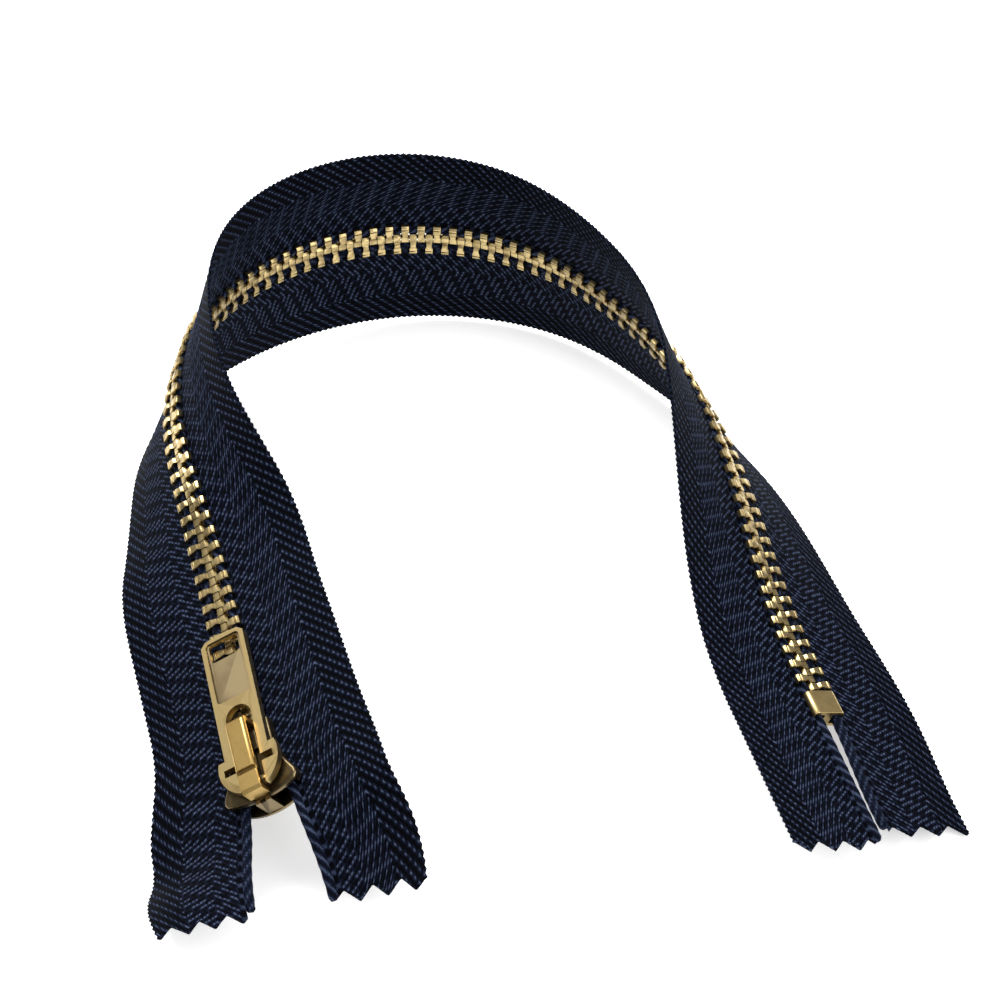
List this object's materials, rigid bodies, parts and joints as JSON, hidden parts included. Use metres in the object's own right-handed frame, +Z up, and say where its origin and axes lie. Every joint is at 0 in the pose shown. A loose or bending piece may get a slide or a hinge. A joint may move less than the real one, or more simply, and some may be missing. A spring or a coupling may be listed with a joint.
{
  "type": "metal zipper",
  "caption": "Closed-end metal zipper lying in a horseshoe: woven dark tapes, antique brass teeth, sliding slider with hinged pull and lock leaf, spreading open ends.",
  "frame": {"origin": "centre of the bottom of the bounding box, on the floor the zipper lies on", "axes": "+Z up, +Y from the open ends towards the middle of the bend, +X from the slider's leg to the leg with the bottom stop"},
  "size_m": [0.1162, 0.127, 0.0338],
  "materials": {
    "tape": "dark navy woven polyester, herringbone",
    "cord": "dark navy corded edge",
    "teeth": "antique brass, dull with rubbed edges",
    "stops": "antique brass",
    "slider": "antique brass, rubbed bright on the edges",
    "pull": "antique brass, matt in the recesses",
    "spring_metal": "plain spring steel"
  },
  "bodies": {
    "closed_chain": {"left_tape": "tape", "right_tape": "tape", "left_cord": "cord", "right_cord": "cord", "left_teeth": "teeth", "right_teeth": "teeth", "bottom_stop": "stops"},
    "left_flap": {"left_tape_top": "tape", "left_cord_top": "cord", "left_teeth_top": "teeth", "left_top_stop": "stops"},
    "right_flap": {"right_tape_top": "tape", "right_cord_top": "cord", "right_teeth_top": "teeth", "right_top_stop": "stops"},
    "slider": {"slider_body": "slider", "crown": "slider", "lock_spring": "spring_metal"},
    "lock": {"lock_leaf": "spring_metal"},
    "pull": {"pull_tab": "pull"}
  },
  "joints": [
    {"name": "slider_slide", "type": "slide", "parent": "closed_chain", "child": "slider", "axis": [-0.2562, 0.9561, 0.1426], "range_m": [0, 0.016], "deforming": ["left_cord_top", "right_cord_top", "left_teeth_top", "right_teeth_top"]},
    {"name": "left_flap_swing", "type": "hinge", "parent": "closed_chain", "child": "left_flap", "pos_m": [-0.04312, -0.01146, 0.01493], "axis": [-0.4465, -0.2479, 0.8598], "range_deg": [-8, 0]},
    {"name": "right_flap_swing", "type": "hinge", "parent": "closed_chain", "child": "right_flap", "pos_m": [-0.04312, -0.01146, 0.01493], "axis": [-0.4465, -0.2479, 0.8598], "range_deg": [0, 8]},
    {"name": "pull_swing", "type": "hinge", "parent": "slider", "child": "pull", "pos_m": [-0.03691, -0.04107, 0.01352], "axis": [0.8573, 0.1566, 0.4904], "range_deg": [0, 150]},
    {"name": "lock_lift", "type": "hinge", "parent": "slider", "child": "lock", "pos_m": [-0.03706, -0.04214, 0.01412], "axis": [0.8573, 0.1566, 0.4904], "range_deg": [0, 4.5], "deforming": ["lock_spring"]}
  ],
  "couplings": [
    {"joint": "left_flap_swing", "follows": "slider_slide", "rad_per_m": -8.7},
    {"joint": "right_flap_swing", "follows": "slider_slide", "rad_per_m": 8.7},
    {"joint": "lock_lift", "follows": "pull_swing", "ratio": 0.03}
  ]
}
